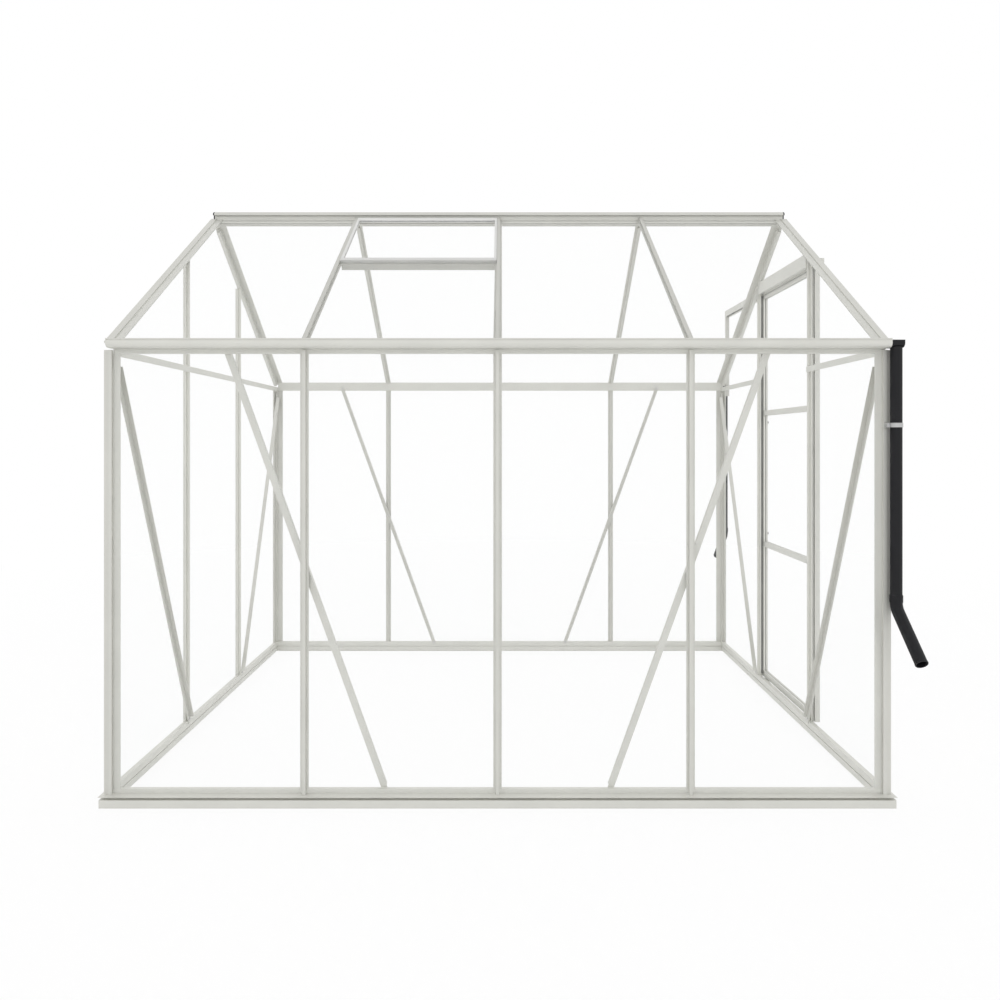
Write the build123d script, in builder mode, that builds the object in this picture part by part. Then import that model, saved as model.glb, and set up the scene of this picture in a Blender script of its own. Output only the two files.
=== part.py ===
from build123d import *
import os
from math import atan2, copysign, cos, degrees, hypot, radians, sin, tan

os.makedirs("parts", exist_ok=True)

# Bay grid, all sizes in millimetres and degrees
bay = 622.0
wall_bays = 4
gable_bays = 3
seat_offset = 11.0

# Glazing bars
rib_width = 12.0
rib_height = 10.0
flange_width = 27.0
flange_thickness = 3.0
web_width = 5.0
bar_depth = 14.0

# Glass
pane_thickness = 3.0
pane_gap = 1.0
pane_seat_gap = 0.2

# Corner posts
post_face = 50.0
post_step = 5.0
rib_top_gap = 4.0

# Base rails
base_height = 54.0
base_bevel = 6.0
fascia_height = 26.0
fascia_out = 20.0
groove_height = 4.5
groove_depth = 14.0
sill_tip_rise = 5.0
sill_out = 23.0
sill_top = 41.0
inner_line_height = 27.0
inner_line_size = 3.0

# Roof
pitch = 35.0
eave_height = 1500.0
body_depth = 30.0
seat_depth = 18.0
pane_overhang = 6.0
pane_ridge_gap = 13.0
end_rib_height = 3.0

# Eave rail with its gutter
eave_drop = 44.0
trough_drop = 29.0
trough_wall = 3.0
trough_out = 48.0
trough_round = 15.0
lip_line_drop = 3.0
lip_line_height = 3.0
lip_line_depth = 2.0
gutter_right_inset = 6.0
gutter_left_inset = 18.0
end_cap_thickness = 3.0

# Ridge
ridge_inset = 15.0
ridge_keel = 10.0
ridge_block = 8.0
ridge_wing = 25.0
ridge_wing_thickness = 5.0
ridge_cap_half = 18.0
ridge_cap_flat = 8.0
ridge_cap_fall = 8.0
ridge_cap_edge = 8.0
ridge_cap_rib = 4.0
ridge_cap_gap = 8.0
ridge_cap_thickness = 5.0
ridge_clearance = 0.2
peak_gap = 25.0

# Braces and ties
wall_brace_width = 19.0
gable_brace_width = 23.0
strip_thickness = 3.0
strip_lip = 15.0
tie_drop = 5.0
tie_height = 23.0
wall_brace_lean = 260.0
wall_brace_rise = 24.0
wall_brace_drop = 14.0
gable_brace_inset = 2.0
gable_brace_offset = 5.0
gable_brace_top_drop = 26.0
gable_brace_foot_drop = 6.0
bolt_radius = 5.0
bolt_height = 4.0
bolt_edge = 14.0

# Rainwater pipes
pipe_radius = 18.0
pipe_wall = 2.0
pipe_bottom = 663.0
head_length = 40.0
head_drop = 5.0
spigot_length = 24.0
pipe_clearance = 0.1
shoe_length = 207.0
shoe_angle = 48.0
sleeve_length = 22.0
sleeve_wall = 2.0
sleeve_gap = 0.3
clip_height = 1218.0
clip_width = 14.0
clip_wall = 2.0
clip_tab = 10.0

# Sliding door
leaf_gap = 2.0
leaf_thickness = 20.0
leaf_floor_gap = 8.0
leaf_top_gap = 2.0
stile_width = 27.0
top_rail_height = 14.0
bottom_rail_height = 26.0
mid_rail_height = 24.0
mid_rail_rise = 633.0
mid_rail_pitch = 626.0
glass_groove = 6.0
glass_play = 0.2
header_gap = 1.0
header_rise = 20.0
header_height = 55.0
seal_width = 6.0
seal_clearance = 0.3
seal_end = 8.0
buffer_radius = 5.0
buffer_length = 7.0
buffer_rise = 682.0
buffer_pitch = 533.0

# Door track, hangers and rollers
track_wall = 3.0
track_drop = 29.0
track_height = 32.0
track_lip_width = 11.0
track_width = 30.0
track_end = 20.0
track_inset = 8.0
strut_gap = 11.5
stop_length = 10.0
stop_gap = 0.5
roller_radius = 11.0
roller_width = 7.0
roller_ride = 0.3
roller_play = 0.3
axle_radius = 3.0
axle_clearance = 0.05
boss_radius = 6.0
axle_end = 1.0
hanger_inset = 79.5
hanger_length = 44.0
hanger_thickness = 4.0
hanger_foot = 8.0
hanger_gap = 4.0
hanger_foot_height = 4.0
hanger_top_margin = 8.0
strut_thickness = 18.0
strut_depth = 20.0
strut_lap = 30.0
guide_inset = 16.0
guide_length = 50.0
guide_thickness = 4.0
guide_foot_low = 4.0
guide_foot_height = 6.0
guide_lap = 16.0
guide_gap = 0.5

# Roof vent
vent_bays = 1
vent_lift = 0.3
vent_thickness = 12.0
vent_side_width = 10.0
vent_top_width = 22.0
vent_low = 412.0
vent_bottom_width = 20.0
vent_side_gap = 1.0
lintel_lap = 14.0
lintel_width = 25.0
lintel_depth = 22.0
lower_pane_gap = 2.0
hinge_gap = 2.0
hinge_rod_radius = 3.0
hinge_clearance = 0.05
stay_length = 260.0
stay_width = 14.0
stay_thickness = 3.0
stay_drop = 4.0
stay_gap = 0.3
stay_pin_radius = 3.0
stay_pin_clearance = 0.05
stay_pin_end = 1.0
stay_hole_radius = 3.5
stay_hole_count = 4
lug_length = 12.0
lug_width = 16.0

# Derived planes of the walls and the roof
up = Vector(0, 0, 1)
front = Vector(0, -1, 0)
rear = Vector(0, 1, 0)
left = Vector(-1, 0, 0)
right = Vector(1, 0, 0)
line_x = wall_bays * bay / 2
line_y = gable_bays * bay / 2
gable_seat = line_x + seat_offset
wall_seat = line_y + seat_offset
gable_outer = gable_seat + rib_height
wall_outer = wall_seat + rib_height
gable_inner = gable_seat - bar_depth
wall_inner = wall_seat - bar_depth
slope_cos = cos(radians(pitch))
slope_sin = sin(radians(pitch))
slope_tan = tan(radians(pitch))
eave_bottom = eave_height - eave_drop
trough_bottom = eave_height - trough_drop
rib_half = rib_width / 2
half_pane = bay / 2 - rib_half - pane_gap
pane_low = sill_top + pane_seat_gap
post_half = flange_width / 2
door_line = bay / 2
door_inside = door_line - post_half
bay_middles = [index * bay + bay / 2 - line_x for index in range(wall_bays)]
gutter_left = gable_seat - gutter_left_inset
gutter_right = gable_seat - gutter_right_inset
ridge_half_length = gable_outer - ridge_inset


def save(piece, name):
    piece.label = name
    export_step(piece, f"parts/{name}.step")


def prism(plane, outline, length):
    with BuildPart() as piece:
        with BuildSketch(plane):
            with BuildLine():
                Polyline(*outline, close=True)
            make_face()
        extrude(amount=length)
    return piece.part


def block(low, high):
    size = [b - a for a, b in zip(low, high)]
    with BuildPart() as piece:
        with Locations(low):
            Box(*size, align=Align.MIN)
    return piece.part


def rod(start, direction, radius, length):
    with BuildPart() as piece:
        with BuildSketch(Plane(origin=start, z_dir=direction)):
            Circle(radius)
        extrude(amount=length)
    return piece.part


def group(*pieces):
    with BuildPart() as joined:
        add(pieces)
    return joined.part


def without(piece, *cutters):
    with BuildPart() as cut:
        add(piece)
        add(cutters, mode=Mode.SUBTRACT)
    return cut.part


def below(piece, plane):
    with BuildPart() as kept:
        add(piece)
        split(bisect_by=plane, keep=Keep.BOTTOM)
    return kept.part


# A run follows a wall: its outline is drawn as distance out from the seat plane and height
def run(out, seat, outline, low, high):
    axis = out.cross(up)
    along = Vector(abs(axis.X), abs(axis.Y), 0)
    start = low if axis.dot(along) > 0 else high
    plane = Plane(origin=out * seat + along * start, x_dir=out, z_dir=axis)
    return prism(plane, outline, high - low)


# An upright stands on a wall: its outline is drawn as distance along the wall and out from it
def upright(out, seat, along, outline, low, high):
    axis = out.cross(up)
    position = Vector(abs(axis.X), abs(axis.Y), 0) * along
    plane = Plane(origin=out * seat + position + up * low, x_dir=axis, z_dir=up)
    return prism(plane, outline, high - low)


# Height of the roof surface at a distance from the ridge line and above the glass seat
def roof_z(distance, above):
    return eave_height + (wall_outer - distance) * slope_tan + (above - rib_height) / slope_cos


def roof_normal(out):
    return out * slope_sin + up * slope_cos


def roof_point(out, x, distance, above):
    return Vector(x, out.Y * distance, roof_z(distance, 0)) + roof_normal(out) * above


# A slope piece runs up the roof between two distances from the ridge line
def slope(out, x, outline, low, high):
    climb = out * -slope_cos + up * slope_sin
    plane = Plane(origin=roof_point(out, x, low, 0), x_dir=Vector(out.Y, 0, 0), z_dir=climb)
    return prism(plane, outline, (low - high) / slope_cos)


# Rectangle outline between two corners
def rectangle(x0, y0, x1, y1):
    return [(x0, y0), (x1, y0), (x1, y1), (x0, y1)]


# Sheet parallel to a wall: its outline is drawn as distance along the wall and height
def sheet(out, face, outline, thickness):
    side = up.cross(out)
    turn = side.X + side.Y
    plane = Plane(origin=out * face, x_dir=side, z_dir=out)
    return prism(plane, [(turn * along, z) for along, z in outline], thickness)


# Angle strip on the inside of a wall between two points given as along and height,
# with its lip cut back clear of the end bolts
def strip(out, seat, top, foot, width):
    side = up.cross(out)
    turn = side.X + side.Y
    lean = turn * (top[0] - foot[0])
    rise = top[1] - foot[1]
    plane = Plane(origin=out * (seat - bar_depth - strip_thickness), x_dir=side, z_dir=out)
    middle = (turn * (top[0] + foot[0]) / 2, (top[1] + foot[1]) / 2)
    line = Location((*middle, 0), (0, 0, degrees(atan2(rise, lean))))
    upper_edge = copysign((width - strip_thickness) / 2, lean)
    with BuildPart() as piece:
        with BuildSketch(plane):
            with Locations(line):
                Rectangle(hypot(lean, rise), width)
        extrude(amount=strip_thickness)
        with BuildSketch(plane):
            with Locations(line):
                with Locations((0, upper_edge)):
                    Rectangle(hypot(lean, rise) - 2 * (bolt_edge + bolt_radius), strip_thickness)
        extrude(amount=-strip_lip)
    return piece.part


# Bolt head on the inner face of a strip
def bolt(out, seat, along, height):
    axis = out.cross(up)
    spot = Vector(abs(axis.X), abs(axis.Y), 0) * along + up * height
    return rod(out * (seat - bar_depth - strip_thickness) + spot, out * -1, bolt_radius, bolt_height)


bar_outline = [
    (-post_half, -flange_thickness),
    (-web_width / 2, -flange_thickness),
    (-web_width / 2, -bar_depth),
    (web_width / 2, -bar_depth),
    (web_width / 2, -flange_thickness),
    (post_half, -flange_thickness),
    (post_half, 0),
    (rib_half, 0),
    (rib_half, rib_height),
    (-rib_half, rib_height),
    (-rib_half, 0),
    (-post_half, 0),
]
rib_outline = rectangle(-rib_half, 0, rib_half, rib_height)
web_outline = rectangle(-web_width / 2, -bar_depth, web_width / 2, -flange_thickness)
top_outline = [
    (-post_half, -flange_thickness),
    (post_half, -flange_thickness),
    (post_half, 0),
    (rib_half, 0),
    (rib_half, rib_height),
    (-rib_half, rib_height),
    (-rib_half, 0),
    (-post_half, 0),
]

# Base rails, mitred at the corners
groove_high = fascia_height + groove_height
base_outline = [
    (-bar_depth + base_bevel, 0),
    (fascia_out, 0),
    (fascia_out, fascia_height),
    (fascia_out - groove_depth, fascia_height),
    (fascia_out - groove_depth, groove_high),
    (sill_out, groove_high + sill_tip_rise),
    (0, sill_top),
    (0, base_height),
    (-bar_depth, base_height),
    (-bar_depth, inner_line_height + inner_line_size),
    (-bar_depth + inner_line_size, inner_line_height + inner_line_size),
    (-bar_depth + inner_line_size, inner_line_height),
    (-bar_depth, inner_line_height),
    (-bar_depth, base_bevel),
]
tip_x = gable_seat + sill_out
tip_y = wall_seat + sill_out


def base_rail(out, seat, half):
    along = out.cross(up)
    rail = run(out, seat, base_outline, -half, half)
    for end in (along, along * -1):
        corner = out * (seat + sill_out) + end * half
        rail = below(rail, Plane(origin=corner, z_dir=end - out))
    return rail


base_rails = {
    "front": base_rail(front, wall_seat, tip_x),
    "rear": base_rail(rear, wall_seat, tip_x),
    "left": base_rail(left, gable_seat, tip_y),
    "right": base_rail(right, gable_seat, tip_y),
}
for name, rail in base_rails.items():
    save(rail, f"base_rail_{name}")

# Corner posts: the part outside the seat planes runs from the sill up to the gutter
rib_low = groove_high + sill_tip_rise
rib_top = trough_bottom - rib_top_gap
post_edge_x = gable_outer - post_face
post_edge_y = wall_outer - post_face
post_inner_outline = [
    (post_edge_x, wall_seat - flange_thickness),
    (gable_inner, wall_seat - flange_thickness),
    (gable_inner, wall_inner),
    (gable_seat - flange_thickness, wall_inner),
    (gable_seat - flange_thickness, post_edge_y),
    (gable_seat, post_edge_y),
    (gable_seat, wall_seat),
    (post_edge_x, wall_seat),
]
post_outer_outline = [
    (gable_seat, line_y - rib_half),
    (gable_outer, line_y - rib_half),
    (gable_outer, wall_seat + post_step),
    (line_x + rib_half, wall_seat + post_step),
    (line_x + rib_half, wall_outer),
    (line_x - rib_half, wall_outer),
    (line_x - rib_half, wall_seat),
    (gable_seat, wall_seat),
]


def corner_post(wall, gable, sx, sy):
    inner = [(sx * x, sy * y) for x, y in post_inner_outline]
    outer = [(sx * x, sy * y) for x, y in post_outer_outline]
    nose = prism(Plane.XY.offset(rib_low), outer, rib_top - rib_low)
    return group(
        prism(Plane.XY.offset(base_height), inner, eave_bottom - base_height),
        without(nose, base_rails[wall], base_rails[gable]),
    )


for wall, gable, sx, sy in (
    ("front", "left", -1, -1),
    ("front", "right", 1, -1),
    ("rear", "left", -1, 1),
    ("rear", "right", 1, 1),
):
    save(corner_post(wall, gable, sx, sy), f"corner_post_{wall}_{gable}")

# Wall bars
bar_lines = [index * bay - line_x for index in range(1, wall_bays)]


def wall_bar(name, out, x):
    rib = upright(out, wall_seat, x, rib_outline, rib_low, rib_top)
    return group(
        upright(out, wall_seat, x, bar_outline, base_height, eave_bottom),
        without(rib, base_rails[name]),
    )


for name, out in (("front", front), ("rear", rear)):
    save(group(*[wall_bar(name, out, x) for x in bar_lines]), f"wall_bars_{name}")

# Gable bars and door posts, cut off under the end rafters
ridge_wing_base = roof_z(ridge_block, -flange_thickness - ridge_wing_thickness)
ridge_bottom = ridge_wing_base - ridge_keel
for name, out, word in (("left", left, "gable_bar"), ("right", right, "door_post")):
    for end, y, fall in (("front", -door_line, front), ("rear", door_line, rear)):
        bar = upright(out, gable_seat, y, bar_outline, base_height, ridge_bottom)
        cut = Plane(origin=roof_point(fall, 0, door_line, -body_depth), z_dir=roof_normal(fall))
        rib_foot = upright(out, gable_seat, y, rib_outline, rib_low, base_height)
        save(group(below(bar, cut), without(rib_foot, base_rails[name])), f"{word}_{end}")


# Eave rails with their gutters
trough_back = seat_depth - bar_depth
trough_floor = trough_bottom + trough_wall
bend = (trough_out - trough_round, trough_bottom + trough_round)
trough_inside = trough_out - trough_wall
lip_line_top = eave_height - lip_line_drop
lip_line_low = lip_line_top - lip_line_height


def eave_rail(out):
    axis = out.cross(up)
    start = gutter_right if axis.X < 0 else -gutter_left
    plane = Plane(origin=out * wall_seat + right * start, x_dir=out, z_dir=axis)
    with BuildPart() as piece:
        with BuildSketch(plane):
            with BuildLine():
                Polyline(
                    (bend[0], trough_floor),
                    (trough_back, trough_floor),
                    (trough_back, roof_z(wall_inner + seat_depth, -flange_thickness)),
                    (-bar_depth, roof_z(wall_inner, -flange_thickness)),
                    (-bar_depth, eave_bottom),
                    (0, eave_bottom),
                    (0, trough_bottom),
                    (bend[0], trough_bottom),
                )
                RadiusArc((trough_out, bend[1]), (bend[0], trough_bottom), trough_round)
                Polyline(
                    (trough_out, bend[1]),
                    (trough_out, lip_line_low),
                    (trough_out - lip_line_depth, lip_line_low),
                    (trough_out - lip_line_depth, lip_line_top),
                    (trough_out, lip_line_top),
                    (trough_out, eave_height),
                    (trough_inside, eave_height),
                    (trough_inside, bend[1]),
                )
                RadiusArc((trough_inside, bend[1]), (bend[0], trough_floor), trough_round - trough_wall)
            make_face()
        extrude(amount=gutter_left + gutter_right)
    return piece.part


# Solid end shape of the trough, used by the end caps and the outlet heads
def trough_end(out, x, direction, length, top):
    plane = Plane(origin=out * wall_seat + right * x, x_dir=out, z_dir=direction)
    turn = plane.y_dir.Z
    arc_start = (trough_out, turn * bend[1])
    arc_end = (bend[0], turn * trough_bottom)
    with BuildPart() as piece:
        with BuildSketch(plane):
            with BuildLine():
                Polyline(
                    arc_end,
                    (rib_height, turn * trough_bottom),
                    (rib_height, turn * top),
                    (trough_out, turn * top),
                    arc_start,
                )
                RadiusArc(arc_start, arc_end, turn * trough_round)
            make_face()
        extrude(amount=length)
    return piece.part


for name, out in (("front", front), ("rear", rear)):
    save(eave_rail(out), f"eave_gutter_{name}")
caps = [trough_end(out, -gutter_left, left, end_cap_thickness, eave_height) for out in (front, rear)]
save(group(*caps), "gutter_end_caps")

# Outlet heads, rainwater pipes, shoes and clips
pipe_bore = pipe_radius - pipe_wall
spigot_radius = pipe_bore - pipe_clearance
sleeve_bore = pipe_radius + pipe_clearance
sleeve_radius = sleeve_bore + sleeve_wall
pipe_x = gutter_right + head_length / 2
pipe_line = wall_outer + sleeve_gap + sleeve_radius


def pipe_spot(out, z):
    return right * pipe_x + out * pipe_line + up * z


def outlet_head(out):
    body = trough_end(out, gutter_right, right, head_length, eave_height - head_drop)
    ends = sorted((out.Y * (wall_outer + trough_wall), out.Y * (wall_seat + trough_inside)))
    well = block(
        (gutter_right, ends[0], trough_floor),
        (gutter_right + head_length - trough_wall, ends[1], eave_height),
    )
    spigot = rod(pipe_spot(out, trough_floor), -up, spigot_radius, trough_wall + spigot_length)
    drain = rod(pipe_spot(out, trough_floor), -up, spigot_radius - pipe_wall, trough_wall + spigot_length)
    return without(group(without(body, well), spigot), drain)


def ball(centre, radius):
    with BuildPart() as piece:
        with Locations(centre):
            Sphere(radius)
    return piece.part


def shoe(out):
    bend_spot = pipe_spot(out, pipe_bottom - pipe_radius)
    aim = out * sin(radians(shoe_angle)) - up * cos(radians(shoe_angle))
    shell = group(
        rod(bend_spot, up, sleeve_radius, pipe_radius + sleeve_length),
        ball(bend_spot, sleeve_radius),
        rod(bend_spot, aim, sleeve_radius, shoe_length),
    )
    return without(
        shell,
        rod(bend_spot, up, pipe_bore, pipe_radius),
        ball(bend_spot, pipe_bore),
        rod(bend_spot, aim, pipe_bore, shoe_length),
        rod(pipe_spot(out, pipe_bottom), up, sleeve_bore, sleeve_length),
    )


def clip(out):
    ring = rod(pipe_spot(out, clip_height), up, sleeve_bore + clip_wall, clip_width)
    tab_ends = sorted((out.Y * wall_outer, out.Y * pipe_line))
    tab = block(
        (pipe_x - pipe_radius - clip_tab, tab_ends[0], clip_height),
        (pipe_x - pipe_radius, tab_ends[1], clip_height + clip_width),
    )
    return without(group(ring, tab), rod(pipe_spot(out, clip_height), up, sleeve_bore, clip_width))


def downpipe(out):
    length = trough_bottom - pipe_bottom
    tube = rod(pipe_spot(out, pipe_bottom), up, pipe_radius, length)
    return without(tube, rod(pipe_spot(out, pipe_bottom), up, pipe_bore, length))


save(group(outlet_head(front), outlet_head(rear)), "gutter_outlets")
save(group(downpipe(front), downpipe(rear)), "downpipes")
save(group(shoe(front), shoe(rear)), "downpipe_shoes")
save(group(clip(front), clip(rear)), "downpipe_clips")

# Ridge bar with its end caps
rib_line = ridge_cap_half - ridge_cap_rib
cap_low = roof_z(rib_line, rib_height) + ridge_cap_gap
cap_inner = roof_z(ridge_block, rib_height) + ridge_cap_gap
cap_edge_top = cap_low + ridge_cap_edge
cap_side = [
    (ridge_cap_flat, cap_edge_top + ridge_cap_fall),
    (ridge_cap_half, cap_edge_top),
    (ridge_cap_half, cap_low),
    (rib_line, cap_low),
    (rib_line, cap_inner),
    (ridge_block, cap_inner),
]
wing_side = [
    (ridge_block, roof_z(ridge_block, -flange_thickness)),
    (ridge_wing, roof_z(ridge_wing, -flange_thickness)),
    (ridge_wing, roof_z(ridge_wing, -flange_thickness - ridge_wing_thickness)),
    (ridge_block, ridge_wing_base),
]
keel_side = [(ridge_block, ridge_bottom)]


def mirrored(side):
    return side + [(-y, z) for y, z in reversed(side)]


ridge_outline = mirrored(cap_side + wing_side + keel_side)
cap_outline = mirrored(cap_side + keel_side)


def cross_plane(x):
    return Plane(origin=(x, 0, 0), x_dir=rear, z_dir=right)


save(prism(cross_plane(-ridge_half_length), ridge_outline, 2 * ridge_half_length), "ridge_bar")
ridge_caps = [
    prism(cross_plane(x), cap_outline, ridge_cap_thickness)
    for x in (-ridge_half_length - ridge_cap_thickness, ridge_half_length)
]
save(group(*ridge_caps), "ridge_end_caps")

# Rafters, seated on the eave rails and the ridge wings
rafter_low = wall_inner + seat_depth
rafter_high = ridge_block + ridge_clearance + flange_thickness * slope_sin
web_high = ridge_wing + ridge_clearance + bar_depth * slope_sin
body_high = ridge_wing + ridge_clearance + body_depth * slope_sin
hinge_above = vent_lift + vent_thickness / 2
hinge_line = ridge_cap_half + hinge_gap
vent_middle = bay_middles[wall_bays // 2 - vent_bays]
vent_left = vent_middle - bay / 2
hinge_rod = rod(roof_point(front, vent_left, hinge_line, hinge_above), right, hinge_rod_radius, bay)


def rafter(out, x):
    top = slope(out, x, top_outline, rafter_low, rafter_high)
    web = slope(out, x, web_outline, wall_inner, web_high)
    return group(top, web)


def end_rafter(out, side):
    turn = out.Y * side
    top = [
        (turn * post_edge_x, -flange_thickness),
        (turn * gable_outer, -flange_thickness),
        (turn * gable_outer, end_rib_height),
        (turn * gable_inner, end_rib_height),
        (turn * gable_inner, 0),
        (turn * post_edge_x, 0),
    ]
    body = rectangle(turn * gable_inner, -body_depth, turn * gable_seat, -flange_thickness)
    return group(
        slope(out, 0, top, rafter_low, rafter_high),
        slope(out, 0, body, wall_inner, body_high),
    )


front_rafters = group(*[rafter(front, x) for x in bar_lines])
save(without(front_rafters, hinge_rod), "roof_bars_front")
save(group(*[rafter(rear, x) for x in bar_lines]), "roof_bars_rear")
for name, out, side in (
    ("front_left", front, -1),
    ("front_right", front, 1),
    ("rear_left", rear, -1),
    ("rear_right", rear, 1),
):
    save(end_rafter(out, side), f"end_rafter_{name}")

# Gable ties at eave height
tie_low = eave_bottom - tie_drop
tie_outline = rectangle(-bar_depth - strip_thickness, tie_low, -bar_depth, tie_low + tie_height)
tie_end = door_line - web_width / 2
ties = [
    run(left, gable_seat, tie_outline, -wall_inner, wall_inner),
    run(right, gable_seat, tie_outline, -wall_inner, -tie_end),
    run(right, gable_seat, tie_outline, tie_end, wall_inner),
]
save(group(*ties), "gable_ties")

# Braces with their bolts: both ends, and the middle where a wall brace crosses a bar
brace_bolts = []


def braced(out, seat, top, foot, width, shares):
    end_share = bolt_edge / hypot(top[0] - foot[0], top[1] - foot[1])
    for share in (end_share, *shares, 1 - end_share):
        spot = [b + (a - b) * share for a, b in zip(top, foot)]
        brace_bolts.append(bolt(out, seat, *spot))
    return strip(out, seat, top, foot, width)


wall_braces = [
    braced(
        out,
        wall_seat,
        (side * (bay + wall_brace_lean), eave_bottom + wall_brace_rise),
        (side * (bay - wall_brace_lean), base_height - wall_brace_drop),
        wall_brace_width,
        [1 / 2],
    )
    for out in (front, rear)
    for side in (-1, 1)
]
gable_braces = [
    braced(
        out,
        gable_seat,
        (side * (wall_inner - gable_brace_inset), eave_bottom - gable_brace_top_drop),
        (side * (door_line + gable_brace_offset), base_height - gable_brace_foot_drop),
        gable_brace_width,
        [],
    )
    for out in (left, right)
    for side in (-1, 1)
]
save(group(*wall_braces), "wall_braces")
save(group(*gable_braces), "gable_braces")
save(group(*brace_bolts), "brace_bolts")

# Wall and gable panes
pane_top = trough_bottom - pane_gap
pane_drop = flange_thickness + pane_gap


def wall_pane(out, x):
    outline = rectangle(x - half_pane, pane_low, x + half_pane, pane_top)
    return sheet(out, wall_seat + pane_seat_gap, outline, pane_thickness)


def side_pane(out, side):
    near = door_line + rib_half + pane_gap
    far = line_y - rib_half - pane_gap
    outline = [
        (side * near, pane_low),
        (side * far, pane_low),
        (side * far, roof_z(far, -pane_drop)),
        (side * near, roof_z(near, -pane_drop)),
    ]
    return sheet(out, gable_seat + pane_seat_gap, outline, pane_thickness)


def peak_pane(out, low):
    peak = ridge_wing + peak_gap
    half_outline = [
        (half_pane, low),
        (half_pane, roof_z(half_pane, -pane_drop)),
        (peak, roof_z(peak, -pane_drop)),
    ]
    return sheet(out, gable_seat + pane_seat_gap, mirrored(half_outline), pane_thickness)


save(group(*[wall_pane(out, x) for out in (front, rear) for x in bay_middles]), "wall_panes")
header_top = roof_z(door_inside, -body_depth) + header_rise
gable_panes = [side_pane(out, side) for out in (left, right) for side in (-1, 1)]
gable_panes.append(peak_pane(left, pane_low))
gable_panes.append(peak_pane(right, header_top + pane_seat_gap))
save(group(*gable_panes), "gable_panes")

# Roof panes
pane_outline = rectangle(-half_pane, pane_seat_gap, half_pane, pane_seat_gap + pane_thickness)
roof_low = wall_outer + pane_overhang


def roof_pane(out, x):
    high = vent_low + lower_pane_gap if out == front and x == vent_middle else pane_ridge_gap
    return slope(out, x, pane_outline, roof_low, high)


save(group(*[roof_pane(out, x) for out in (front, rear) for x in bay_middles]), "roof_panes")

# Roof vent with its lintel and hinge rod
vent_half = bay / 2 - rib_half - vent_side_gap
vent_high = vent_low - vent_bottom_width
vent_over = vent_lift + vent_thickness
vent_inner = vent_half - vent_side_width
vent_leaf = hinge_line + vent_top_width
groove_reach = glass_groove * slope_cos
glass_under = hinge_above - pane_thickness / 2
glass_over = hinge_above + pane_thickness / 2
lintel_half = bay / 2 - post_half
lintel_low = vent_low + lintel_lap
lintel_outline = rectangle(-lintel_half, -lintel_depth, lintel_half, 0)
save(slope(front, vent_middle, lintel_outline, lintel_low, lintel_low - lintel_width), "vent_lintel")
save(hinge_rod, "vent_hinge_rod")


def vent_slot(play):
    reach = vent_inner + glass_groove - play
    outline = rectangle(-reach, glass_under - glass_play + play, reach, glass_over + glass_play - play)
    inset = groove_reach - play * slope_cos
    return slope(front, vent_middle, outline, vent_high + inset, vent_leaf - inset)


vent_groove = vent_slot(0)
vent_outline = rectangle(-vent_half, vent_lift, vent_half, vent_over)
hinge_start = roof_point(front, vent_middle - vent_half, hinge_line, hinge_above)
hinge_leaf = slope(front, vent_middle, vent_outline, vent_leaf, hinge_line)
hinge_tube = rod(hinge_start, right, vent_thickness / 2, 2 * vent_half)
hinge_bore = rod(hinge_start, right, hinge_rod_radius + hinge_clearance, 2 * vent_half)
save(without(group(hinge_leaf, hinge_tube), hinge_bore, vent_groove), "vent_hinge_rail")

# Lug of the stay, with its pin, hangs from the bottom rail of the vent
climb = front * -slope_cos + up * slope_sin
stay_axis = -stay_drop - stay_width / 2
lug_high = vent_high - lug_length * slope_cos
stay_x = vent_middle + stay_length / 2 - stay_width / 2
lug_outline = rectangle(
    -lug_width / 2, stay_axis - stay_width / 2, lug_width / 2, glass_under - 2 * glass_play
)
bottom_rail = slope(front, vent_middle, vent_outline, vent_low, vent_high)
lug = slope(front, stay_x, lug_outline, vent_high, lug_high)
pin_spot = roof_point(front, stay_x, lug_high, stay_axis)
pin = rod(pin_spot, climb, stay_pin_radius, stay_gap + stay_thickness + stay_pin_end)
save(group(without(bottom_rail, vent_groove), lug, pin), "vent_bottom_rail")
side_rails = []
for side in (-1, 1):
    outline = rectangle(side * vent_inner, vent_lift, side * vent_half, vent_over)
    side_rails.append(without(slope(front, vent_middle, outline, vent_high, vent_leaf), vent_groove))
save(group(*side_rails), "vent_side_rails")
save(vent_slot(glass_play), "vent_pane")

# Stay bar, folded along the bottom rail
stay_hole_pitch = (stay_length - stay_width) / stay_hole_count
stay_plane = Plane(origin=pin_spot + climb * stay_gap, x_dir=left, z_dir=climb)
with BuildPart() as stay:
    with BuildSketch(stay_plane):
        with Locations((stay_length / 2 - stay_width / 2, 0)):
            SlotOverall(stay_length, stay_width)
        Circle(stay_pin_radius + stay_pin_clearance, mode=Mode.SUBTRACT)
        with Locations(*[(stay_hole_pitch * (index + 1), 0) for index in range(stay_hole_count)]):
            Circle(stay_hole_radius, mode=Mode.SUBTRACT)
    extrude(amount=stay_thickness)
save(stay.part, "vent_stay")

# Door leaf
leaf_in = gable_outer + leaf_gap
leaf_out = leaf_in + leaf_thickness
leaf_half = door_line + post_half
leaf_clear = leaf_half - stile_width
track_top = header_top - track_drop
track_low = track_top - track_height
leaf_bottom = sill_top + leaf_floor_gap
leaf_top = track_low - leaf_top_gap
glass_x = (leaf_in + leaf_out) / 2
rails = [(leaf_bottom, leaf_bottom + bottom_rail_height)]
mid_rail_low = leaf_bottom + mid_rail_rise
for z in (mid_rail_low, mid_rail_low + mid_rail_pitch):
    rails.append((z - mid_rail_height / 2, z + mid_rail_height / 2))
rails.append((leaf_top - top_rail_height, leaf_top))


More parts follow.
